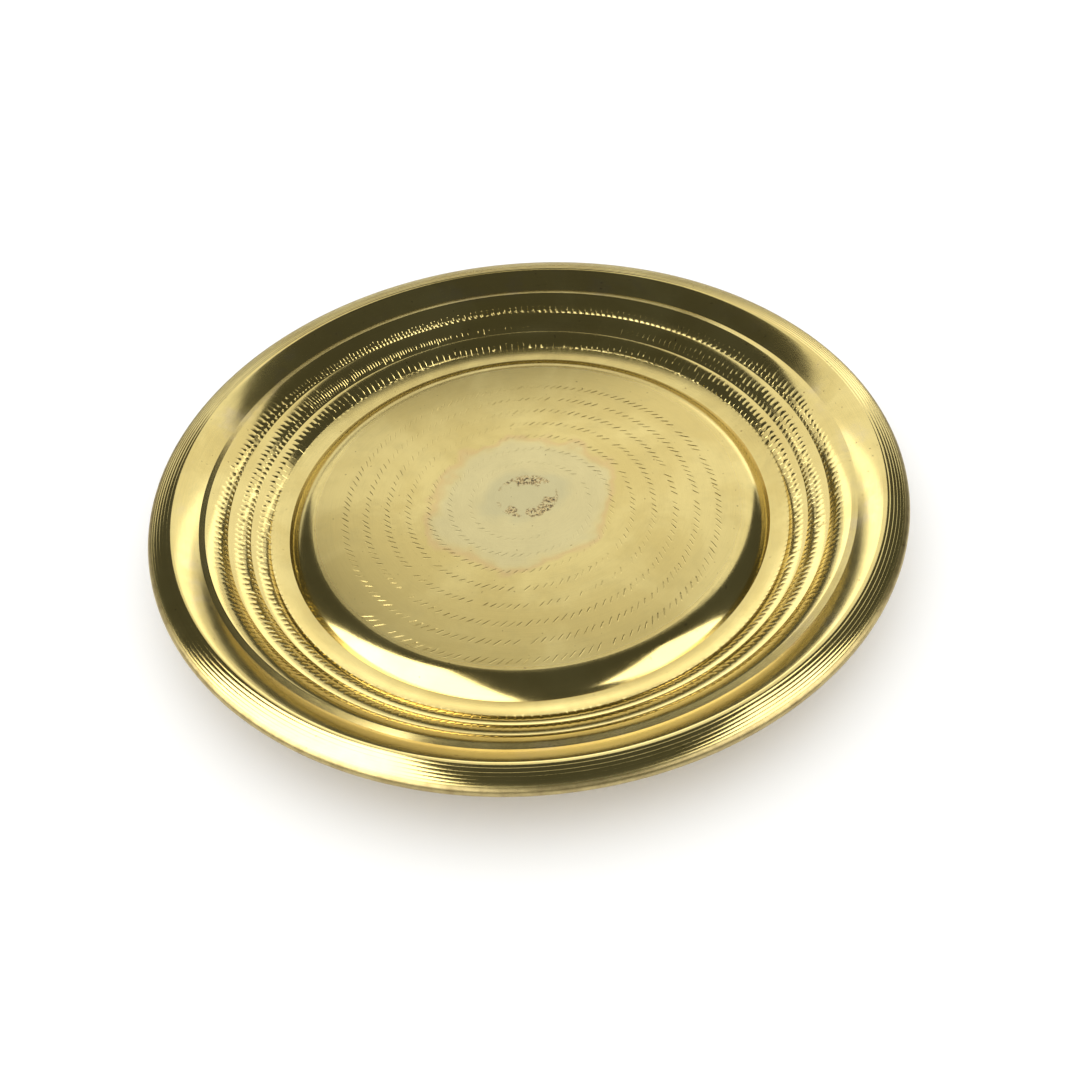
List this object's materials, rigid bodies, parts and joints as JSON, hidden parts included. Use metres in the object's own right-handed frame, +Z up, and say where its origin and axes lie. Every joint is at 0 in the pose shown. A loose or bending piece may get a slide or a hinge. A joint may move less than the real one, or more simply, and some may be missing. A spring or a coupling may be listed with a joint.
{
  "type": "brass serving tray",
  "caption": "Round shallow brass serving tray with a raised flat middle, a stepped and chased wall and a lip whose edge is rolled round a steel wire.",
  "frame": {"origin": "on the tray's axis, in the plane that it stands on", "axes": "+Z up along the tray's axis, out of the dish; the tray is round, so X and Y are any two directions across it"},
  "size_m": [0.3, 0.3, 0.0262],
  "materials": {
    "brass_sheet": "satin brushed middle, turned and polished lip and shoulder, light stains",
    "steel_wire": "plain drawn mild steel"
  },
  "bodies": {
    "root": {"tray_body": "brass_sheet", "rim_wire": "steel_wire"}
  },
  "joints": []
}
